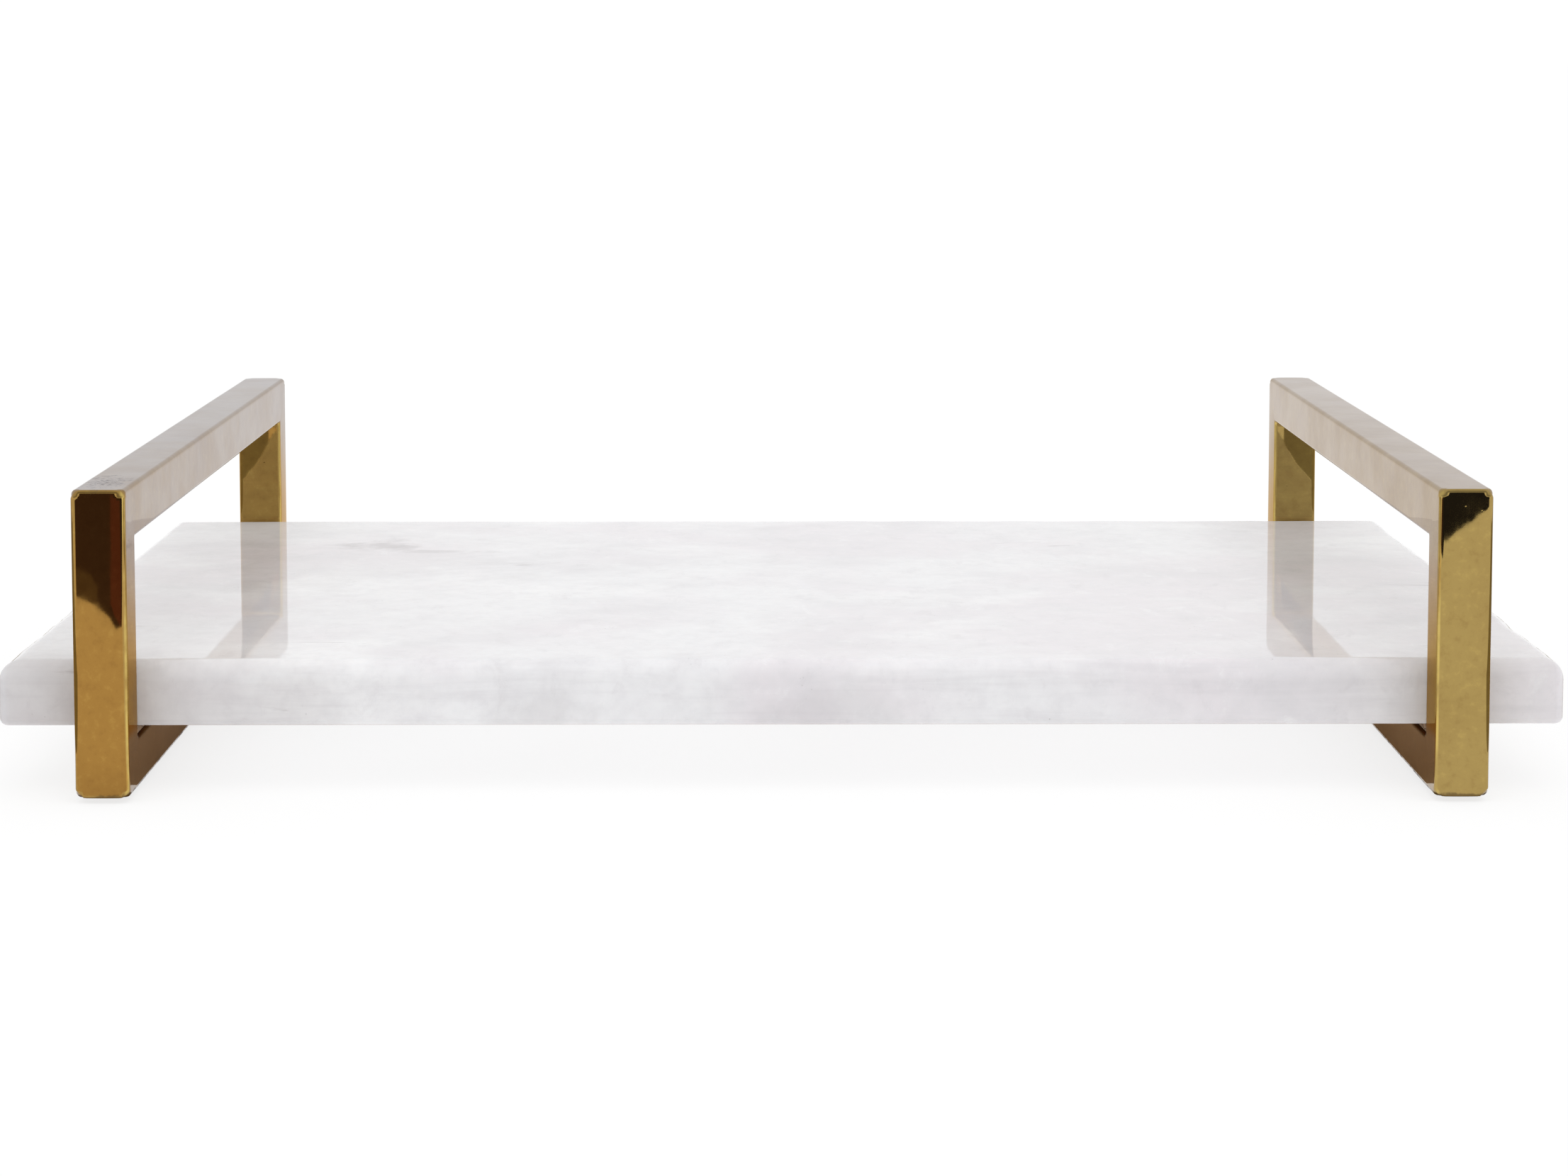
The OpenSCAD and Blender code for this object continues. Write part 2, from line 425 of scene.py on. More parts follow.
def drilled_base(build, rows, rows_n, side):
    """The base bar's faces, with two countersunk holes cut through the flats of its lower and upper faces."""
    flat = BAR / 2 - BAR_ROUND + 1e-7
    cols = len(rows[0])
    reach = 6.5 * MM
    head_gap = 0.1 * MM
    sink_r = HEAD_R + head_gap
    sink_top = LOOP_BOTTOM + sink_r - HOLE_R
    middle_row = rows[len(rows) // 2]
    cut = set()
    for upward in (False, True):
        columns = [j for j, p in enumerate(middle_row)
                   if abs(p[0] - side * HANDLE_X) <= flat and (p[2] > LOOP_BOTTOM + BAR / 2) == upward]
        left, right = columns[0], columns[-1]
        for end in ENDS.values():
            near = [i for i, row in enumerate(rows) if abs(row[left][1] - end * SCREW_Y) <= reach]
            first, last = min(near) - 1, max(near) + 1
            cut |= {(i, j) for i in range(first, last) for j in columns[:-1]}
            edge = [rows[i][left] for i in range(first, last)]
            edge += [rows[last][j] for j in columns[:-1]]
            edge += [rows[i][right] for i in range(last, first, -1)]
            edge += [rows[first][j] for j in columns[:0:-1]]
            hole = circle(side * HANDLE_X, end * SCREW_Y, HOLE_R if upward else sink_r)
            build.plane(edge, [hole], BASE_TOP if upward else LOOP_BOTTOM, upward)
    for i in range(len(rows) - 1):
        for j in range(cols):
            if (i, j) in cut:
                continue
            ring = ((i, j), (i, (j + 1) % cols), (i + 1, (j + 1) % cols), (i + 1, j))
            build.face([rows[a][b] for a, b in ring], [rows_n[a][b] for a, b in ring])
    bore = [(HOLE_R, BASE_TOP, -1, 0), (HOLE_R, sink_top, -1, 0)]
    cone = [(HOLE_R, sink_top, -0.707, -0.707), (sink_r, LOOP_BOTTOM, -0.707, -0.707)]
    for end in ENDS.values():
        lathe(build, side * HANDLE_X, end * SCREW_Y, bore)
        lathe(build, side * HANDLE_X, end * SCREW_Y, cone)


# ---------------------------------------------------------------- strips, feet and fasteners

def band(build, outline, profile):
    """Rings of an outline, each drawn in along its normals by a profile of (inset, z, outward, upward)."""
    rows, normals = [], []
    for inset, z, out, up in profile:
        rows.append([(x - nx * inset, y - ny * inset, z) for (x, y), (nx, ny) in outline])
        normals.append([(nx * out, ny * out, up) for _, (nx, ny) in outline])
    build.grid(rows, normals, wrap=True)
    return rows[0], rows[-1]


def bearing_strip(side_name):
    """A strip of bonded cork and rubber with slightly crumbly edges, holed for the screws."""
    low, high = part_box(f"{side_name}_bearing_strip")
    cx = (low.x + high.x) / 2
    width, length = high.x - low.x, high.y - low.y
    step = 1.5 * MM
    corner = 0.8 * MM
    outline = []
    for quarter, (sx, sy) in enumerate(((1, 1), (-1, 1), (-1, -1), (1, -1))):
        for i in range(5):
            a = math.pi / 2 * (quarter + i / 4)
            x = cx + sx * (width / 2 - corner) + corner * math.cos(a)
            y = sy * (length / 2 - corner) + corner * math.sin(a)
            outline.append(((x, y), (math.cos(a), math.sin(a))))
        a = math.pi / 2 * (quarter + 1)
        run = (width if quarter % 2 == 0 else length) - 2 * corner
        count = int(run / step)
        x0, y0 = outline[-1][0]
        for i in range(1, count):
            s = run * i / count
            x, y = x0 - math.sin(a) * s, y0 + math.cos(a) * s
            bite = 0.25 * MM * max(0.0, smooth_noise(x, y, 0, 0.004, 11.3))
            nx, ny = math.cos(a), math.sin(a)
            outline.append(((x - nx * bite, y - ny * bite), (nx, ny)))
    soft = 0.3 * MM
    profile = [(soft, low.z, 0, -1), (0.09 * MM, low.z + 0.09 * MM, 0.7, -0.7), (0, low.z + soft, 1, 0),
               (0.12 * MM, (low.z + high.z) / 2, 1, 0),
               (0, high.z - soft, 1, 0), (0.09 * MM, high.z - 0.09 * MM, 0.7, 0.7), (soft, high.z, 0, 1)]
    build = Build()
    bottom, top = band(build, outline, profile)
    holes = [circle(cx, end * SCREW_Y, HOLE_R, 32) for end in ENDS.values()]
    build.plane(bottom, holes, low.z, up=False)
    build.plane(top, holes, high.z, up=True)
    for end in ENDS.values():
        lathe(build, cx, end * SCREW_Y, [(HOLE_R, high.z, -1, 0), (HOLE_R, low.z, -1, 0)], 32)
    return build.object(f"{side_name}_cork_strip")


def foot_pad(side_name, end_name):
    """A moulded rubber pad with round ends, a soft lower rim and a shallow groove round its underside."""
    low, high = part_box(f"{side_name}_{end_name}_foot")
    cx, cy = (low.x + high.x) / 2, (low.y + high.y) / 2
    half_w, half_l = (high.x - low.x) / 2, (high.y - low.y) / 2
    outline = []
    steps = 20
    for quarter, (sx, sy) in enumerate(((1, 1), (-1, 1), (-1, -1), (1, -1))):
        r = half_w - 1 * MM
        for i in range(steps + 1):
            a = math.pi / 2 * (quarter + i / steps)
            point = (cx + sx * (half_w - r) + r * math.cos(a), cy + sy * (half_l - r) + r * math.sin(a))
            outline.append((point, (math.cos(a), math.sin(a))))
    rim = 0.4 * MM
    groove = 0.35 * MM
    profile = [(1.9 * MM, low.z, 0, -1), (1.6 * MM, low.z + groove, 0.3, -0.95),
               (1.4 * MM, low.z + groove, -0.3, -0.95), (1.1 * MM, low.z, 0, -1), (rim, low.z, 0, -1),
               (0.3 * rim, low.z + 0.3 * rim, 0.7, -0.7), (0, low.z + rim, 1, 0),
               (0, high.z - 0.15 * MM, 1, 0), (0.15 * MM, high.z, 0.3, 0.95)]
    build = Build()
    bottom, top = band(build, outline, profile)
    build.plane(bottom, [], low.z, up=False)
    build.plane(top, [], high.z, up=True)
    return build.object(f"{side_name}_{end_name}_rubber_foot")


def hexagon(cx, cy, across_flats):
    """Corners of a hexagon socket, anticlockwise."""
    r = across_flats / math.sqrt(3)
    return [(cx + r * math.cos(math.pi / 3 * i), cy + r * math.sin(math.pi / 3 * i)) for i in range(6)]


def screws():
    """Four countersunk socket screws with a softened head rim and a rolled thread."""
    z0 = screws_low.z
    rim = 0.25 * MM
    cone_top = HEAD_R - THREAD_R
    pitch, thread_depth = 0.8 * MM, 0.35 * MM
    core_r = THREAD_R - 0.05 * MM

    def thread(r, z, t):
        """Radius of the shank with its helical thread, which starts above the head's cone."""
        start = z0 + cone_top + 2 * MM
        if z <= start or r < core_r - 1e-9:
            return r
        phase = ((z - start) / pitch - t / (2 * math.pi)) % 1.0
        return r - thread_depth * abs(2 * phase - 1) * min(1.0, (z - start) / pitch)

    profile = [(HEAD_R - 1.2 * rim, z0, 0, -1), (HEAD_R - 0.4 * rim, z0 + 0.25 * rim, 0.6, -0.8),
               (HEAD_R - 0.3 * rim, z0 + rim, 1, 0), (core_r + 0.1 * MM, z0 + cone_top, 0.707, 0.707),
               (core_r, z0 + cone_top + 0.1 * MM, 1, 0)]
    turns = int((SCREW_L - cone_top - 0.6 * MM) / (pitch / 4))
    profile += [(core_r, z0 + cone_top + 0.1 * MM + i * pitch / 4, 1, 0) for i in range(1, turns)]
    profile += [(core_r - 0.4 * MM, z0 + SCREW_L, 0.6, 0.8)]
    build = Build()
    for side in SIDES.values():
        for end in ENDS.values():
            cx, cy = side * HANDLE_X, end * SCREW_Y
            lathe(build, cx, cy, profile, 36, thread)
            socket = hexagon(cx, cy, SOCKET_ACROSS)
            build.plane(circle(cx, cy, profile[0][0], 36), [socket], z0, up=False)
            roof = z0 + SOCKET_DEPTH
            for a, b in zip(socket, socket[1:] + socket[:1]):
                normal = (-(a[0] + b[0]) / 2 + cx, -(a[1] + b[1]) / 2 + cy, 0)
                normal = tuple(Vector(normal).normalized())
                build.face([(*a, roof), (*b, roof), (*b, z0), (*a, z0)], [normal] * 4)
            build.plane(socket, [], roof, up=False)
            build.plane(circle(cx, cy, profile[-1][0], 36), [], z0 + SCREW_L, up=True)
    return build.object("countersunk_handle_screws")


def inserts():
    """Four brass sleeves with two knurled bands, a groove between them and a plain bore."""
    z0, z1 = inserts_low.z, inserts_high.z
    length = z1 - z0
    teeth, depth, turns_up = 26, 0.22 * MM, 1400

    def knurl(r, z, t):
        """Radius of the sleeve's outside: slanted teeth on both bands."""
        share = (z - z0) / length
        banded = (0.12 < share < 0.42 or 0.58 < share < 0.88) and r > THREAD_R + 1 * MM
        slant = 1 if share < 0.5 else -1
        return r - depth * (0.5 + 0.5 * math.cos(teeth * t + slant * turns_up * (z - z0))) if banded else r

    outside = []
    for i in range(33):
        share = i / 32
        groove = 0.5 * MM if 0.45 < share < 0.55 else 0.0
        edge = 0.3 * MM if share in (0.0, 1.0) else 0.0
        outside.append((INSERT_R - groove - edge, z0 + length * share, 1, 0))
    bore_r = THREAD_R + 0.001 * MM
    build = Build()
    for side in SIDES.values():
        for end in ENDS.values():
            cx, cy = side * HANDLE_X, end * SCREW_Y
            lathe(build, cx, cy, outside, 78, knurl)
            lathe(build, cx, cy, [(bore_r, z1, -1, 0), (bore_r, z0, -1, 0)], 78)
            for z, up in ((z0, False), (z1, True)):
                build.plane(circle(cx, cy, outside[0][0], 78), [circle(cx, cy, bore_r, 78)], z, up)
    return build.object("knurled_threaded_inserts")


# ---------------------------------------------------------------- materials

MARBLE_WHITE = (0.890, 0.886, 0.900)
MARBLE_PINK = (0.840, 0.805, 0.832)
MARBLE_GREY = (0.740, 0.728, 0.750)
MARBLE_BRIGHT = (0.940, 0.937, 0.946)
MARBLE_STREAK = (0.420, 0.385, 0.392)
MARBLE_SHADE = (0.640, 0.615, 0.640)
MARBLE_PIT = (0.350, 0.340, 0.340)
# soft grey patches, as place, size on each axis, strength and raggedness: inclusions on the top, then along
# the front painted shade at the left end and beside both posts, and darker patches low on the face
MARBLE_INCLUSIONS_AND_SHADE = (
    ((-0.140, 0.085, 0.0385), (0.022, 0.016, 0.010), 0.55, 0.45),
    ((-0.118, 0.070, 0.0385), (0.030, 0.006, 0.010), 0.35, 0.45),
    ((-0.150, 0.040, 0.0385), (0.070, 0.080, 0.020), 0.12, 0.45),
    # painted shade along the front: at the left end, beside the left post, darker patches low on the face,
    # beside the right post
    ((-0.222, -0.150, 0.026), (0.058, 0.034, 0.036), 0.30, 0.15),
    ((-0.165, -0.152, 0.024), (0.066, 0.026, 0.024), 0.24, 0.15),
    ((-0.070, -0.152, 0.024), (0.020, 0.012, 0.012), 0.18, 0.30),
    ((0.010, -0.152, 0.023), (0.036, 0.012, 0.010), 0.17, 0.30),
    ((0.180, -0.152, 0.026), (0.056, 0.022, 0.020), 0.11, 0.15),
)


class Nodes:
    """Makes a material and its nodes. Texture nodes read the object's own coordinates, in metres."""

    def __init__(self, name):
        self.material = bpy.data.materials.new(name)
        self.material.use_nodes = True
        self.tree = self.material.node_tree
        self.tree.nodes.clear()
        self.shader = self.tree.nodes.new("ShaderNodeBsdfPrincipled")
        output = self.tree.nodes.new("ShaderNodeOutputMaterial")
        self.tree.links.new(self.shader.outputs["BSDF"], output.inputs["Surface"])
        self.place = self.tree.nodes.new("ShaderNodeTexCoord").outputs["Object"]

    def put(self, socket, value):
        """Links a node's output to a socket, or sets the socket to a plain value."""
        if isinstance(value, bpy.types.NodeSocket):
            self.tree.links.new(value, socket)
        else:
            socket.default_value = value

    def set(self, **inputs):
        """Sets the shader's sockets: base_color stands for Base Color."""
        for name, value in inputs.items():
            self.put(self.shader.inputs[name.replace("_", " ").title().replace("Ior", "IOR")], value)

    def axis(self, letter):
        """The place along one axis, in metres from the middle of the tray."""
        node = self.tree.nodes.new("ShaderNodeSeparateXYZ")
        self.put(node.inputs[0], self.place)
        return node.outputs[letter]

    def on_inner_edges(self):
        """1 on a bar's rounded edges towards the middle of the tray, where hands rub and a brighter tone
        paints an edge highlight, and 0 elsewhere.
        """
        normal = self.tree.nodes.new("ShaderNodeSeparateXYZ")
        self.put(normal.inputs[0], self.tree.nodes.new("ShaderNodeTexCoord").outputs["Normal"])
        sideways = self.math("ABSOLUTE", normal.outputs["X"])
        along = self.math("ABSOLUTE", normal.outputs["Y"])
        between = self.range(self.math("MINIMUM", sideways, along), 0.30, 0.60)
        outward = self.math("MULTIPLY", normal.outputs["X"], self.axis("X"))
        return self.math("MULTIPLY", between, self.range(outward, -0.04, -0.02, 1.0, 0.0))

    def painted_joint_shade(self):
        """1 where shade is painted: along the base bars' upper edges under the slab, and less along their
        lowest edges by the floor.
        """
        height = self.axis("Z")
        low = self.range(height, BASE_TOP - 2.2 * MM, BASE_TOP - 0.8 * MM)
        high = self.range(height, BASE_TOP + 1.6 * MM, BASE_TOP + 2.4 * MM, 1.0, 0.0)
        inner = LOOP_Y - BAR
        along = self.math("ABSOLUTE", self.axis("Y"))
        between = self.range(along, inner - 1.0 * MM, inner + 0.5 * MM, 1.0, 0.0)
        joint = self.math("MULTIPLY", self.math("MULTIPLY", low, high), between)
        wander = self.range(self.noise(210, 3, 0.6), 0.3, 0.7, -0.5 * MM, 0.5 * MM)
        ragged = self.math("ADD", height, wander)
        lowest = self.range(ragged, LOOP_BOTTOM + 0.5 * MM, LOOP_BOTTOM + 1.4 * MM, 0.8, 0.0)
        return self.math("MAXIMUM", joint, lowest)

    def stretch(self, x, y, z, shift=(0, 0, 0)):
        """Coordinates scaled by a factor on each axis, so that a pattern stretches."""
        node = self.tree.nodes.new("ShaderNodeMapping")
        self.put(node.inputs["Vector"], self.place)
        node.inputs["Scale"].default_value = (x, y, z)
        node.inputs["Location"].default_value = shift
        return node.outputs["Vector"]

    def noise(self, scale, detail=3.0, rough=0.5, at=None, distortion=0.0):
        node = self.tree.nodes.new("ShaderNodeTexNoise")
        self.put(node.inputs["Vector"], at or self.place)
        node.inputs["Scale"].default_value = scale
        node.inputs["Detail"].default_value = detail
        node.inputs["Roughness"].default_value = rough
        node.inputs["Distortion"].default_value = distortion
        return node.outputs["Fac"]

    def cells(self, scale, at=None, feature="F1", output="Distance"):
        node = self.tree.nodes.new("ShaderNodeTexVoronoi")
        node.feature = feature
        self.put(node.inputs["Vector"], at or self.place)
        node.inputs["Scale"].default_value = scale
        return node.outputs[output]

    def range(self, value, low, high, to_low=0.0, to_high=1.0):
        """Maps low..high onto to_low..to_high, clamped and eased at both ends."""
        node = self.tree.nodes.new("ShaderNodeMapRange")
        node.interpolation_type = "SMOOTHSTEP"
        for name, end in (("From Min", low), ("From Max", high), ("To Min", to_low), ("To Max", to_high)):
            node.inputs[name].default_value = end
        self.put(node.inputs["Value"], value)
        return node.outputs["Result"]

    def math(self, operation, a, b=0.0):
        node = self.tree.nodes.new("ShaderNodeMath")
        node.operation = operation
        self.put(node.inputs[0], a)
        self.put(node.inputs[1], b)
        return node.outputs[0]

    def mix(self, share, a, b, blend="MIX"):
        """Mixes two colours; share, a and b are sockets or values."""
        node = self.tree.nodes.new("ShaderNodeMix")
        node.data_type = "RGBA"
        node.blend_type = blend
        self.put(node.inputs["Factor"], share)
        for socket, value in ((node.inputs[6], a), (node.inputs[7], b)):
            self.put(socket, value if isinstance(value, bpy.types.NodeSocket) else (*value, 1.0))
        return node.outputs[2]

    def blot(self, centre, size, roughen, ragged=0.45):
        """A soft, ragged blot: 1 at its centre and 0 beyond its size on each axis."""
        shift = tuple(-c / s for c, s in zip(centre, size))
        near = self.stretch(*(1 / s for s in size), shift)
        length = self.tree.nodes.new("ShaderNodeVectorMath")
        length.operation = "LENGTH"
        self.put(length.inputs[0], near)
        roughness = self.range(self.noise(roughen, 4, 0.6), 0.3, 0.7, -ragged, ragged)
        return self.range(self.math("ADD", length.outputs["Value"], roughness), 0.25, 1.0, 1.0, 0.0)

    def bump(self, height, distance, strength=1.0, under=None):
        """A bump whose height of 1 is the distance, in metres."""
        node = self.tree.nodes.new("ShaderNodeBump")
        node.inputs["Strength"].default_value = strength
        node.inputs["Distance"].default_value = distance
        self.put(node.inputs["Height"], height)
        if under is not None:
            self.put(node.inputs["Normal"], under)
        return node.outputs["Normal"]


def marble():
    """Near-white polished marble: soft pink and grey clouds, fine grain, flat strata, inclusions, and painted
    shade along the front.
    """
    m = Nodes("polished_white_marble")
    colour = m.mix(m.range(m.noise(11, 3, 0.55, distortion=0.3), 0.40, 0.64), MARBLE_WHITE, MARBLE_PINK)
    colour = m.mix(m.range(m.noise(30, 5, 0.6), 0.42, 0.74, 0.0, 0.60), colour, MARBLE_GREY)
    bright = m.noise(17, 3, 0.5, m.stretch(0.8, 1, 1, (4, 2, 7)))
    colour = m.mix(m.range(bright, 0.52, 0.72), colour, MARBLE_BRIGHT)
    colour = m.mix(m.range(m.noise(170, 4, 0.65), 0.35, 0.75, 0.0, 0.35), colour, MARBLE_GREY)
    grain = m.noise(85, 5, 0.72, m.stretch(1.2, 0.7, 1.0, (3, 1, 4)), 0.4)
    colour = m.mix(m.range(grain, 0.52, 0.76, 0.0, 0.34), colour, MARBLE_SHADE)
    colour = m.mix(m.range(grain, 0.28, 0.46, 0.45, 0.0), colour, MARBLE_BRIGHT)
    strata = m.noise(70, 4, 0.6, m.stretch(0.22, 0.22, 3.2, (5, 3, 1)), 0.3)
    colour = m.mix(m.range(strata, 0.44, 0.74, 0.0, 0.26), colour, MARBLE_SHADE)
    short = m.noise(60, 5, 0.62, m.stretch(0.28, 1.0, 1.8, (0.7, 2.2, 5.0)), 0.4)
    colour = m.mix(m.range(short, 0.66, 0.74, 0.0, 0.45), colour, MARBLE_STREAK)
    # inclusions on the top, and painted shade along the front
    for place, size, share, ragged in MARBLE_INCLUSIONS_AND_SHADE:
        near = m.blot(place, size, 45, ragged)
        colour = m.mix(m.math("MULTIPLY", near, share), colour, MARBLE_STREAK)
    polish = m.noise(90, 3, 0.6)
    pits = m.range(m.cells(420), 0.0, 0.16, 1.0, 0.0)
    pits = m.math("MULTIPLY", pits, m.range(m.noise(60, 2, 0.5), 0.60, 0.66))
    m.set(
        base_color=m.mix(m.math("MULTIPLY", pits, 0.5), colour, MARBLE_PIT),
        roughness=m.range(polish, 0.35, 0.75, 0.022, 0.050),
        ior=1.32,
        subsurface_weight=0.10,
        subsurface_radius=(1.0, 0.9, 0.85),
        subsurface_scale=0.003,
        normal=m.bump(m.noise(20, 2, 0.4), 0.000035, 1.0, m.bump(pits, -0.00004)),
    )
    return m.material


# a scuffed patch on top of the left handle's front end
SCUFF_AT = (-HANDLE_X, -LOOP_Y + 0.019, LOOP_TOP)
SCUFF_SIZE = (0.008, 0.020, 0.004)
SCUFF_TONE = (0.120, 0.105, 0.100)
PATINA_TONE = (0.200, 0.100, 0.030)
DIRT_TONE = (0.100, 0.050, 0.020)
# painted shade: the dark tone along the base bars' edges under the slab and by the floor
PAINTED_SHADE_TONE = (0.085, 0.050, 0.026)
# tones of the brass seen at a glancing angle: on each handle, a painted warm reflection on its posts, and in
# dull patches
GLANCING_LEFT = (0.83, 0.87, 0.98)
GLANCING_RIGHT = (0.89, 0.88, 0.94)
WARM_POST_REFLECTION = (0.84, 0.62, 0.36)
GLANCING_DULL = (0.62, 0.55, 0.50)
WARM_POST_REFLECTION_ENDS = (0.036, 0.082)
# the handles' tone and polish drift from left to right between these places
DRIFT = (-0.15, 0.15)


def brass(name, left_tone, right_tone, worn_edge_highlight_tone, rough_low, rough_high):
    """Solid brass drifting in tone along the tray: patina, rubbed edges with a painted highlight, painted
    shade along the base bars, a painted warm reflection on the posts, polishing lines and pits.
    """
    m = Nodes(name)
    to_right = m.range(m.axis("X"), *DRIFT)
    colour = m.mix(to_right, left_tone, right_tone)
    patina = m.range(m.noise(38, 4, 0.6), 0.40, 0.72, 0.0, 0.16)
    colour = m.mix(patina, colour, PATINA_TONE)
    mottle = m.noise(310, 4, 0.65)
    colour = m.mix(m.range(mottle, 0.50, 0.74, 0.0, 0.22), colour, PATINA_TONE)
    colour = m.mix(m.range(mottle, 0.28, 0.48, 0.18, 0.0), colour, worn_edge_highlight_tone)
    # rubbed edges towards the middle, brightened partly as wear and partly as a painted edge highlight
    patchy = m.range(m.noise(70, 3, 0.6), 0.35, 0.60, 0.15, 0.85)
    colour = m.mix(m.math("MULTIPLY", m.on_inner_edges(), patchy), colour, worn_edge_highlight_tone)
    lines = m.noise(260, 3, 0.6, m.stretch(1.0, 0.04, 1.0))
    across = m.noise(420, 2, 0.6, m.stretch(0.5, 1.0, 0.06))
    pits = m.range(m.cells(240), 0.0, 0.10, 1.0, 0.0)
    spotted = m.range(m.noise(55, 2, 0.5), 0.60, 0.70)
    dirt = m.math("MULTIPLY", pits, spotted)
    colour = m.mix(m.math("MULTIPLY", dirt, 0.5), colour, DIRT_TONE)
    # painted shade along the base bars' upper edges under the slab and along their lowest edges
    painted_joint_shade = m.painted_joint_shade()
    painted_shade_share = m.math("MULTIPLY", painted_joint_shade, 0.85)
    colour = m.mix(painted_shade_share, colour, PAINTED_SHADE_TONE)
    scuff = m.math("MULTIPLY", m.blot(SCUFF_AT, SCUFF_SIZE, 260), m.range(m.noise(900, 3, 0.6), 0.40, 0.60))
    colour = m.mix(m.math("MULTIPLY", scuff, 0.7), colour, SCUFF_TONE)
    worn = m.math("MAXIMUM", m.math("MULTIPLY", dirt, 0.10), m.math("MULTIPLY", painted_joint_shade, 0.30))
    worn = m.math("MAXIMUM", worn, m.math("MULTIPLY", scuff, 0.28))
    duller_left = m.range(m.axis("X"), *DRIFT, 0.016, 0.0)
    polish = m.range(lines, 0.3, 0.7, rough_low, rough_high)
    polish = m.math("ADD", polish, m.range(across, 0.45, 0.8, 0.0, 0.02))
    polish = m.math("ADD", polish, duller_left)
    ripple = m.bump(m.noise(34, 2, 0.45), 0.000035)
    scratches = m.bump(m.math("ADD", lines, across), 0.0000010, 1.0, ripple)
    glancing = m.mix(to_right, GLANCING_LEFT, GLANCING_RIGHT)
    # on the posts, between the base bar and the grip, the glancing tint is a painted warm reflection
    above_base = m.range(m.axis("Z"), BASE_TOP, BASE_TOP + 4 * MM)
    below_grip = m.range(m.axis("Z"), *WARM_POST_REFLECTION_ENDS, 1.0, 0.0)
    glancing = m.mix(m.math("MULTIPLY", above_base, below_grip), glancing, WARM_POST_REFLECTION)
    # the painted shade also dims the glancing tint along the base bars' edges, hiding a highlight there
    glancing = m.mix(painted_shade_share, glancing, PAINTED_SHADE_TONE)
    dull = m.range(m.noise(46, 4, 0.6), 0.35, 0.70, 0.0, 0.25)
    m.set(
        base_color=colour,
        metallic=1.0,
        roughness=m.math("ADD", polish, worn),
        specular_tint=m.mix(dull, glancing, GLANCING_DULL),
        normal=m.bump(m.math("MULTIPLY", dirt, -1.0), 0.00003, 1.0, scratches),
    )
    return m.material


def steel():
    """Satin stainless steel with turning marks."""
    m = Nodes("satin_screw_steel")
    marks = m.noise(900, 3, 0.6)
    colour = m.mix(m.range(marks, 0.3, 0.8), (0.56, 0.56, 0.57), (0.42, 0.42, 0.43))
    m.set(base_color=colour, metallic=1.0, roughness=m.range(marks, 0.3, 0.7, 0.24, 0.40),
          normal=m.bump(marks, 0.000004))
    return m.material


def cork():
    """Bonded cork: brown granules in a darker binder."""
    m = Nodes("bonded_cork_strip")
    granules = m.cells(620, output="Color")
    edges = m.range(m.cells(620, feature="DISTANCE_TO_EDGE"), 0.0, 0.10)
    colour = m.mix(granules, (0.340, 0.215, 0.120), (0.200, 0.115, 0.062))
    colour = m.mix(edges, (0.060, 0.036, 0.024), colour)
    m.set(base_color=colour, roughness=m.range(edges, 0.0, 1.0, 0.72, 0.88), ior=1.45,
          normal=m.bump(edges, 0.00012))
    return m.material


def rubber():
    """Moulded matt rubber with a fine grain and a little dust."""
    m = Nodes("matt_foot_rubber")
    grain = m.noise(1500, 3, 0.6)
    dust = m.range(m.noise(130, 4, 0.6), 0.52, 0.75, 0.0, 0.35)
    colour = m.mix(dust, (0.030, 0.027, 0.025), (0.10, 0.095, 0.088))
    m.set(base_color=colour, roughness=m.range(grain, 0.3, 0.7, 0.62, 0.80), ior=1.5,
          normal=m.bump(grain, 0.00002))
    return m.material


# ---------------------------------------------------------------- the pieces together

MATERIALS = {
    "marble": marble(),
    "brass_bar": brass("polished_bar_brass", (0.404, 0.250, 0.070), (0.407, 0.285, 0.094),
                       (0.680, 0.500, 0.150), 0.008, 0.024),
    "insert_brass": brass("turned_insert_brass", (0.560, 0.400, 0.150), (0.520, 0.370, 0.140),
                          (0.620, 0.450, 0.170), 0.22, 0.34),
    "cork_strip": cork(),
    "screw_steel": steel(),
    "foot_rubber": rubber(),
}


def finish_piece(piece, slot_name, *nodes):
    """Gives a piece its material, hides the CAD nodes that it stands for and attaches it to what it moves
    with.
    """
    piece.data.materials.clear()
    piece.data.materials.append(MATERIALS[slot_name])
    if nodes:
        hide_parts(*nodes)
    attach(piece, "root")


finish_piece(slab(), "marble", "marble_slab")
for side_name in SIDES:
    for bar_piece in handle_bars(side_name):
        finish_piece(bar_piece, "brass_bar")
    finish_piece(bearing_strip(side_name), "cork_strip", f"{side_name}_bearing_strip")
    for end_name in ENDS:
        finish_piece(foot_pad(side_name, end_name), "foot_rubber", f"{side_name}_{end_name}_foot")
finish_piece(inserts(), "insert_brass", "threaded_inserts")
finish_piece(screws(), "screw_steel", "handle_screws")


# ---------------------------------------------------------------- camera, stage and light

CAMERA_FROM_MIDDLE = (-0.0059, -1.1564, 0.2173)
CAMERA_DOWN = 0.0884
CAMERA_TURN = -0.0063
CAMERA_LENS = 80.1
SHIFT_DOWN = 0.1492

# brightness of the studio: just above the floor, then low and high on the camera's side and beyond the tray
HORIZON_LIGHT = 1.02
LOW_FRONT_LIGHT = 0.40
LOW_REAR_LIGHT = 0.88
HIGH_FRONT_LIGHT = 0.38
HIGH_LIGHT = 0.80
KEY_LIGHT = 0.38
KEY_FROM = (0.08, -0.46, 1.0)
FLOOR_GLOW = 0.78
FLOOR_TONE = 0.22

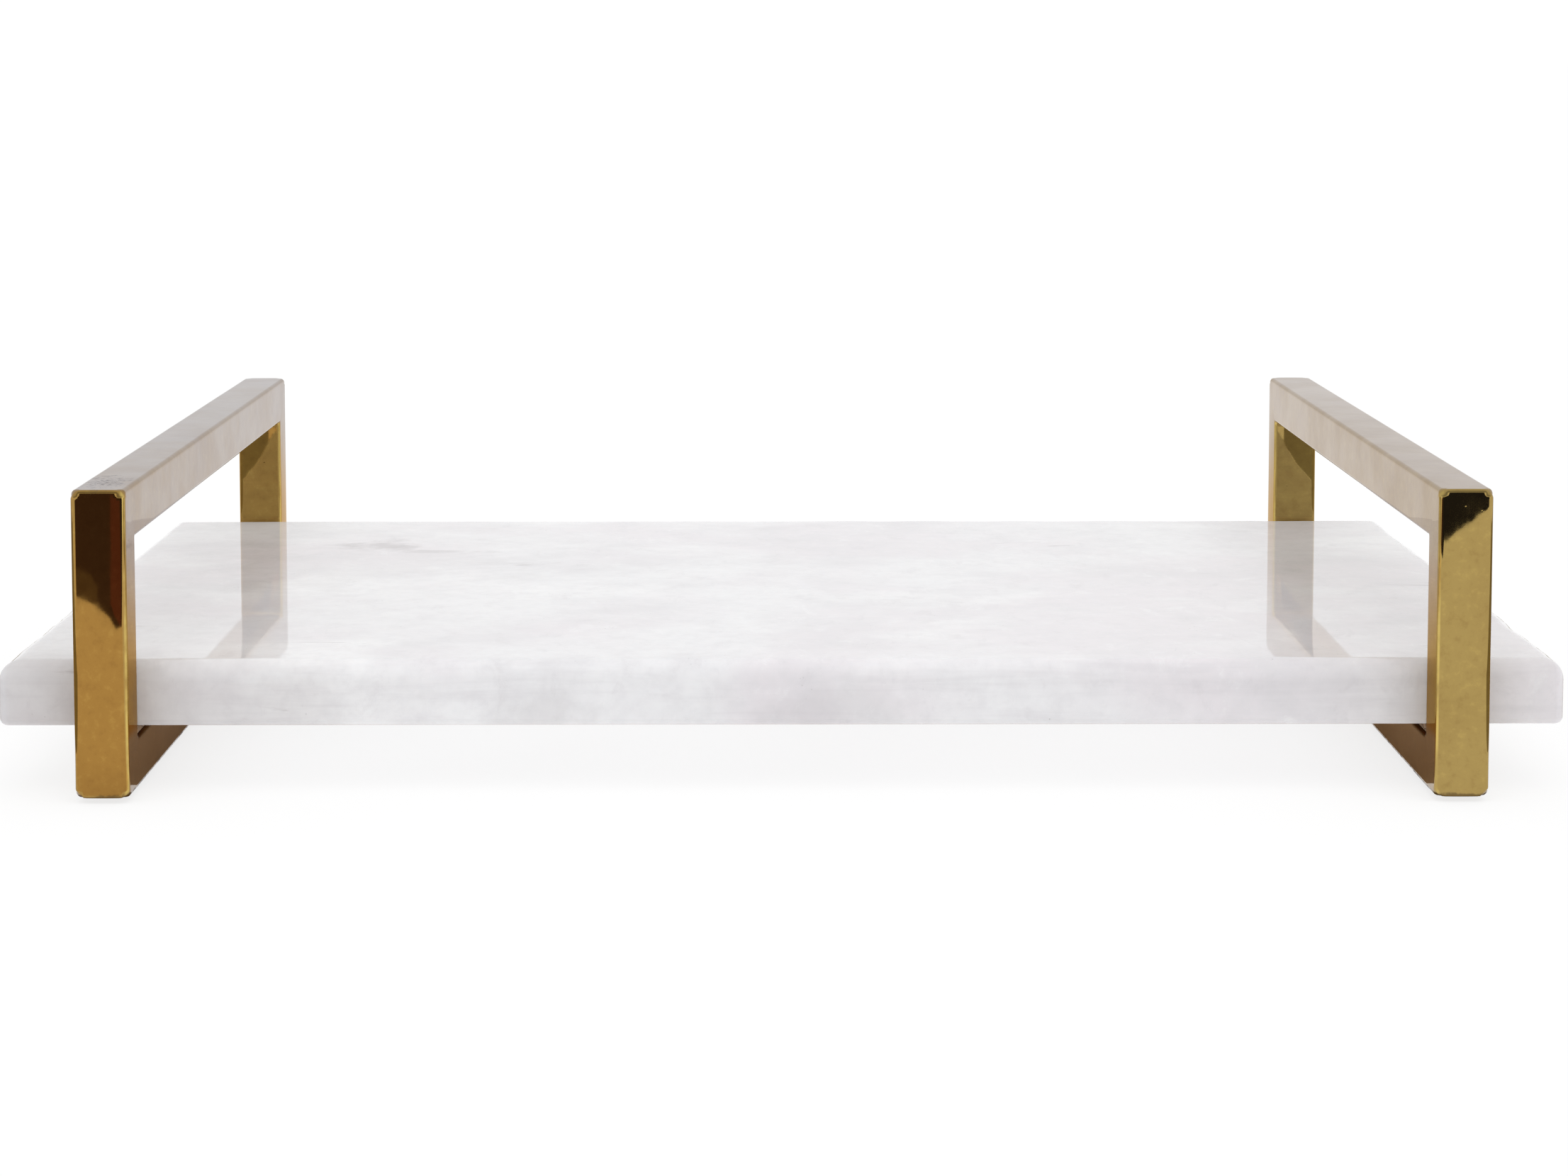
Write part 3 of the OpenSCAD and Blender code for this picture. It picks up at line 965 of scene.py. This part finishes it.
# Outlines, in metres on the floor, of what the polished handles mirror: a dark table whose corner points at
# the left handle, its warmer left part, the brown light along its edge, a reddish strip along its near side,
# a warm card that the left front post mirrors all the way down, and a brown card of painted shade under the
# slab.
TABLE_LEFT_SIDE = [(-0.240, -0.470), (-0.251, -0.498), (-0.266, -0.523), (-0.288, -0.542), (-0.306, -0.573),
                   (-0.320, -0.620), (-0.560, -1.600)]
DARK_TABLE = TABLE_LEFT_SIDE + [(0.900, -1.600), (0.620, -0.980), (0.380, -0.838), (0.298, -0.733),
                                (0.279, -0.696), (-0.110, -0.585)]
LEFT_OF_TABLE = TABLE_LEFT_SIDE + [(-0.020, -1.600), (-0.020, -0.620)]
TABLE_EDGE = TABLE_LEFT_SIDE[2:5] + [(-0.310, -0.620), (-0.288, -0.605), (-0.272, -0.565)]
RED_STRIP = [(-0.236, -0.470), (-0.245, -0.495), (-0.253, -0.525), (-0.308, -0.850), (-0.294, -0.850),
             (-0.256, -0.620)]
WARM_CARD = [(-0.480, -0.700), (-0.150, -0.700), (-0.150, -0.175), (-0.330, -0.175)]
UNDER_SLAB_SHADE_CARD = [(-0.186, -0.144), (0.186, -0.144), (0.186, 0.150), (-0.186, 0.150)]
# cards lying on the floor, seen only in reflections, as name, outline, height and tone
FLOOR_CARDS = (
    ("warm_card", WARM_CARD, 0.2 * MM, (0.900, 0.775, 0.650)),
    ("dark_table", DARK_TABLE, 0.5 * MM, (0.026, 0.026, 0.040)),
    ("left_of_dark_table", LEFT_OF_TABLE, 0.65 * MM, (0.076, 0.046, 0.046)),
    ("dark_table_edge", TABLE_EDGE, 0.8 * MM, (0.130, 0.090, 0.070)),
    ("reddish_strip", RED_STRIP, 1.1 * MM, (0.155, 0.056, 0.052)),
    # painted shade: stands for the shadowed floor under the slab, as the base bars mirror it
    ("shade_card_under_slab", UNDER_SLAB_SHADE_CARD, 0.3 * MM, (0.560, 0.390, 0.230)),
)
FLAG_TONE = (0.400, 0.380, 0.320)
SIDE_TONE = (0.340, 0.300, 0.220)


def camera():
    """A long lens, nearly level and square to the tray's front, with the view shifted down."""
    data = bpy.data.cameras.new("camera")
    data.lens = CAMERA_LENS
    data.sensor_width = 36.0
    data.shift_y = -SHIFT_DOWN
    data.clip_start = 0.01
    obj = bpy.data.objects.new("camera", data)
    obj.location = CAMERA_FROM_MIDDLE
    obj.rotation_euler = Euler((math.pi / 2 - CAMERA_DOWN, 0, CAMERA_TURN), "XYZ")
    bpy.context.scene.collection.objects.link(obj)
    bpy.context.scene.camera = obj


def floor():
    """A wide pale floor that mostly glows of its own, as a brightly lit white sweep seems to."""
    size = 40.0
    corners = [(-size, -size, 0), (size, -size, 0), (size, size, 0), (-size, size, 0)]
    obj = mesh_object("pale_floor", corners, [(0, 1, 2, 3)])
    m = Nodes("pale_floor_paint")
    m.set(base_color=(FLOOR_TONE, FLOOR_TONE, FLOOR_TONE, 1.0), roughness=1.0, specular_ior_level=0.0,
          emission_color=(1.0, 1.0, 1.0, 1.0), emission_strength=FLOOR_GLOW)
    obj.data.materials.append(m.material)


def glossy_card(name, corners, colour):
    """A flat card of one colour, seen only in reflections."""
    obj = mesh_object(name, corners, [tuple(range(len(corners)))])
    m = Nodes(name + "_paint")
    m.set(base_color=(*colour, 1.0), roughness=1.0, specular_ior_level=0.0)
    obj.data.materials.append(m.material)
    obj.visible_camera = False
    obj.visible_diffuse = False
    obj.visible_shadow = False
    obj.visible_transmission = False


def key_light():
    """One very large soft light, high up on the camera's side, which polished pieces don't mirror."""
    data = bpy.data.lights.new("soft_key", "SUN")
    data.energy = KEY_LIGHT * math.pi
    data.angle = math.radians(70)
    obj = bpy.data.objects.new("soft_key", data)
    obj.visible_glossy = False
    obj.rotation_euler = Vector(KEY_FROM).to_track_quat("Z", "Y").to_euler()
    bpy.context.scene.collection.objects.link(obj)


def studio_world():
    """A soft studio: bright overhead and behind the tray, and dimmer on the side where the camera stands."""
    world = bpy.data.worlds.new("studio")
    bpy.context.scene.world = world
    world.use_nodes = True
    tree = world.node_tree
    tree.nodes.clear()
    output = tree.nodes.new("ShaderNodeOutputWorld")
    background = tree.nodes.new("ShaderNodeBackground")
    background.inputs["Color"].default_value = (1.0, 1.0, 1.0, 1.0)
    split = tree.nodes.new("ShaderNodeSeparateXYZ")
    tree.links.new(tree.nodes.new("ShaderNodeTexCoord").outputs["Generated"], split.inputs[0])

    def eased(socket, low, high, to_low, to_high):
        node = tree.nodes.new("ShaderNodeMapRange")
        node.interpolation_type = "SMOOTHSTEP"
        tree.links.new(socket, node.inputs["Value"])
        for name, value in (("From Min", low), ("From Max", high), ("To Min", to_low), ("To Max", to_high)):
            if isinstance(value, bpy.types.NodeSocket):
                tree.links.new(value, node.inputs[name])
            else:
                node.inputs[name].default_value = value
        return node.outputs["Result"]

    low_down = eased(split.outputs["Y"], -0.7, 0.3, LOW_FRONT_LIGHT, LOW_REAR_LIGHT)
    high_up = eased(split.outputs["Y"], -0.85, -0.10, HIGH_FRONT_LIGHT, HIGH_LIGHT)
    upward = eased(split.outputs["Z"], 0.02, 0.60, low_down, high_up)
    everywhere = eased(split.outputs["Z"], 0.015, 0.06, HORIZON_LIGHT, upward)
    tree.links.new(everywhere, background.inputs["Strength"])
    tree.links.new(background.outputs["Background"], output.inputs["Surface"])


def flat_outline(outline, height):
    """An outline on the floor, lifted to a height."""
    return [(x, y, height) for x, y in outline]


def side_flag(side):
    """A low upright flag level with the front posts, just outside the slab on one side."""
    inner, outer, y, top = side * (SLAB_W / 2 + 4 * MM), side * (SLAB_W / 2 + 100 * MM), -LOOP_Y, 40 * MM
    return [(inner, y, 0), (outer, y, 0), (outer, y, top), (inner, y, top)]


def side_card(side):
    """A card lying on the floor to one side of the tray, mirrored by the posts' outer rounded edges."""
    inner, outer, front, rear = side * 0.27, side * 0.80, -0.36, 0.24
    return [(inner, front, MM), (outer, front, MM), (outer, rear, MM), (inner, rear, MM)]


camera()
floor()
studio_world()
key_light()
for card_name, outline, height, tone in FLOOR_CARDS:
    glossy_card(card_name, flat_outline(outline, height), tone)
for side_name, side in SIDES.items():
    glossy_card(f"{side_name}_flag", side_flag(side), FLAG_TONE)
    glossy_card(f"{side_name}_side_card", side_card(side), SIDE_TONE)

bpy.context.scene.view_settings.view_transform = "Standard"
bpy.context.scene.view_settings.look = "None"
